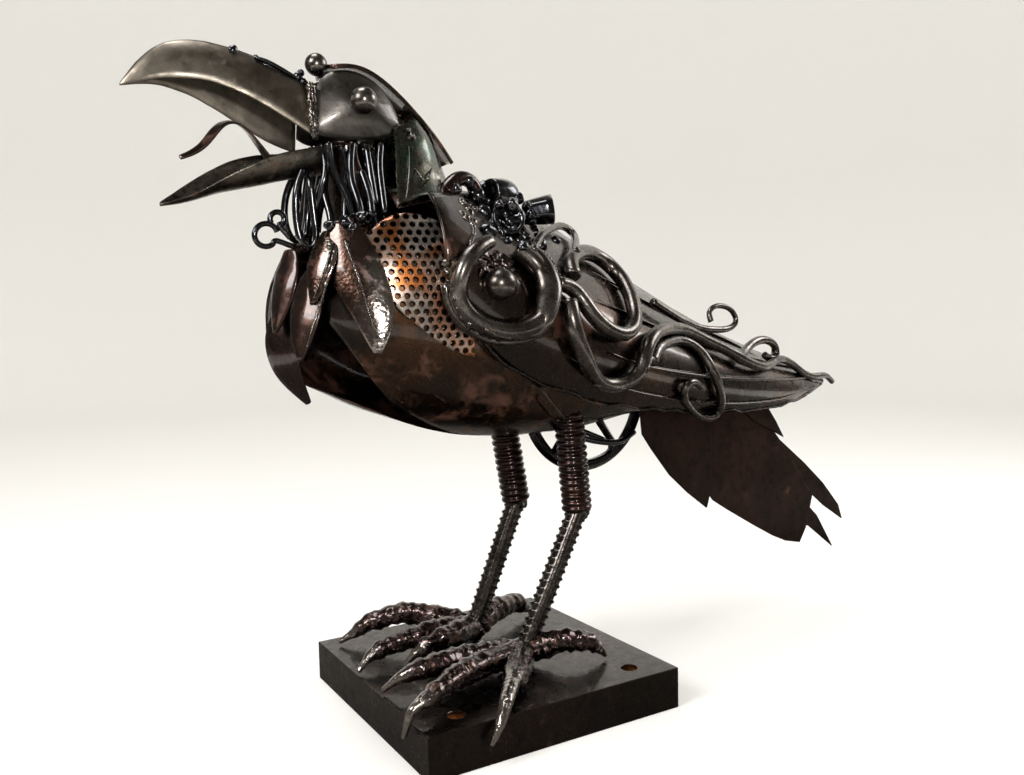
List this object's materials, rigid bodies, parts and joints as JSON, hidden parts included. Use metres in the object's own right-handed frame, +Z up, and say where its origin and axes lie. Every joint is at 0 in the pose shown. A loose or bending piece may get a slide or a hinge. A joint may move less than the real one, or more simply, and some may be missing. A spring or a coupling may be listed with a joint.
{
  "type": "scrap metal raven sculpture",
  "caption": "Raven welded from scrap steel sheet, rods, bearings and a wheel, standing with open beak on a square steel plinth.",
  "frame": {"origin": "middle of the underside of the plinth", "axes": "+Z up, -Y the way the raven's beak points, +X towards the raven's left side"},
  "size_m": [0.2119, 0.6505, 0.4642],
  "materials": {
    "oiled_steel": "dark oiled steel with a glossy clear coat",
    "bright_steel": "bare bright steel, worn on top and dark in the hollows",
    "beak_steel": "warm grey hammered steel",
    "head_steel": "grey brushed steel",
    "rusted_steel": "red-brown rusted steel under a clear coat",
    "greenish_steel": "heat-tinted greenish steel",
    "gunmetal_steel": "blue-black glossy steel",
    "perforated_steel": "perforated sheet with an orange tint",
    "coil_steel": "dark red-brown wound rod",
    "plinth_steel": "dark oiled plate with rust at the corners"
  },
  "bodies": {
    "root": {"back_plate": "oiled_steel", "bearing_ball": "bright_steel", "belly_wheel": "gunmetal_steel", "breast_feather_front": "rusted_steel", "crown_bar": "oiled_steel", "forehead_ball": "bright_steel", "keel_plate": "rusted_steel", "left_breast_feather_inner": "rusted_steel", "left_breast_feather_middle": "rusted_steel", "left_breast_feather_outer": "rusted_steel", "left_cheek_plate": "head_steel", "left_eye": "bright_steel", "left_flank": "oiled_steel", "left_perforated_collar": "perforated_steel", "left_shank": "oiled_steel", "left_shoulder_plate": "oiled_steel", "left_thigh": "coil_steel", "left_toe_hind": "rusted_steel", "left_toe_inner": "rusted_steel", "left_toe_middle": "rusted_steel", "left_toe_outer": "rusted_steel", "left_wing": "oiled_steel", "lower_beak": "beak_steel", "neck_collar": "greenish_steel", "plinth": "plinth_steel", "right_breast_feather_inner": "rusted_steel", "right_breast_feather_outer": "rusted_steel", "right_cheek_plate": "head_steel", "right_eye": "bright_steel", "right_flank": "oiled_steel", "right_perforated_collar": "perforated_steel", "right_shank": "oiled_steel", "right_thigh": "coil_steel", "right_throat_rods": "gunmetal_steel", "right_toe_hind": "rusted_steel", "right_toe_inner": "rusted_steel", "right_toe_middle": "rusted_steel", "right_toe_outer": "rusted_steel", "right_wing": "oiled_steel", "shoulder_arch": "rusted_steel", "shoulder_bell": "gunmetal_steel", "shoulder_bowl": "gunmetal_steel", "shoulder_nut": "gunmetal_steel", "tail_feather_front": "oiled_steel", "tail_feather_left": "oiled_steel", "tail_feather_middle": "oiled_steel", "tail_feather_right": "oiled_steel", "throat_curl": "gunmetal_steel", "throat_hairpin": "gunmetal_steel", "throat_rod_front": "gunmetal_steel", "throat_rod_hooked": "gunmetal_steel", "throat_rod_middle": "gunmetal_steel", "throat_rod_rear": "gunmetal_steel", "tongue": "rusted_steel", "upper_beak": "beak_steel", "wing_curl_low": "bright_steel", "wing_curl_upper": "bright_steel", "wing_ring_front": "bright_steel", "wing_ring_rear": "bright_steel", "wing_scroll_rod": "bright_steel"}
  },
  "joints": []
}
